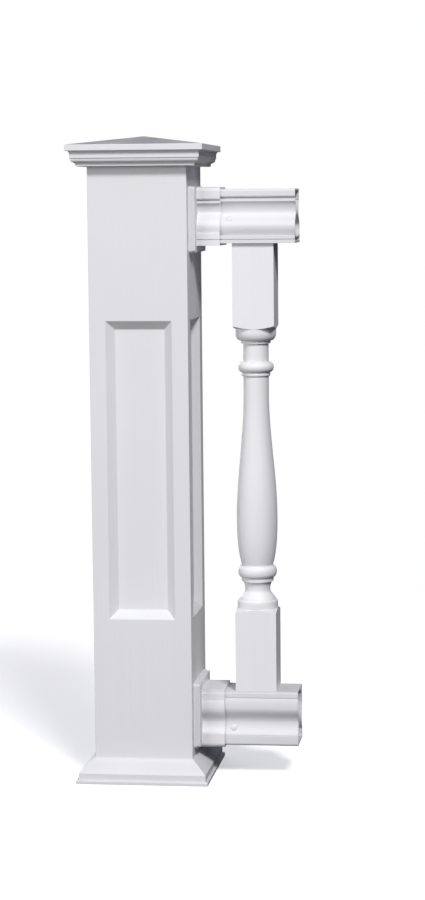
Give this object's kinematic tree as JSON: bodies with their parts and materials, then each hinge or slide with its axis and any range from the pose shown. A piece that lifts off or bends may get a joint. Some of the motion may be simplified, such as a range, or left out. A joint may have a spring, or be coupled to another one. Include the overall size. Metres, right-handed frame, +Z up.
{
  "type": "newel post",
  "caption": "Square porch newel with recessed panels, pyramid cap and base moulding, carrying short top and bottom rails and a turned baluster on one side.",
  "frame": {"origin": "centre of the square sleeve at deck level, where the post it covers stands", "axes": "+Z up along the newel, +X along the rails away from the newel, -Y the face seen from the front"},
  "size_m": [0.3409, 0.2094, 0.996],
  "materials": {
    "sleeve": "satin white cellular plastic with faint vertical saw and brush streaks",
    "trim": "satin white moulded plastic",
    "bracket": "satin white moulded plastic",
    "rail": "semi-gloss white extruded plastic",
    "baluster": "satin white moulded plastic",
    "screw": "white enamel over steel"
  },
  "bodies": {
    "root": {"newel_sleeve": "sleeve", "cap_slab": "trim", "cap_moulding": "trim", "base_moulding": "trim", "top_bracket": "bracket", "bottom_bracket": "bracket", "top_rail": "rail", "bottom_rail": "rail", "baluster": "baluster", "top_screw": "screw", "bottom_screw": "screw"}
  },
  "joints": []
}
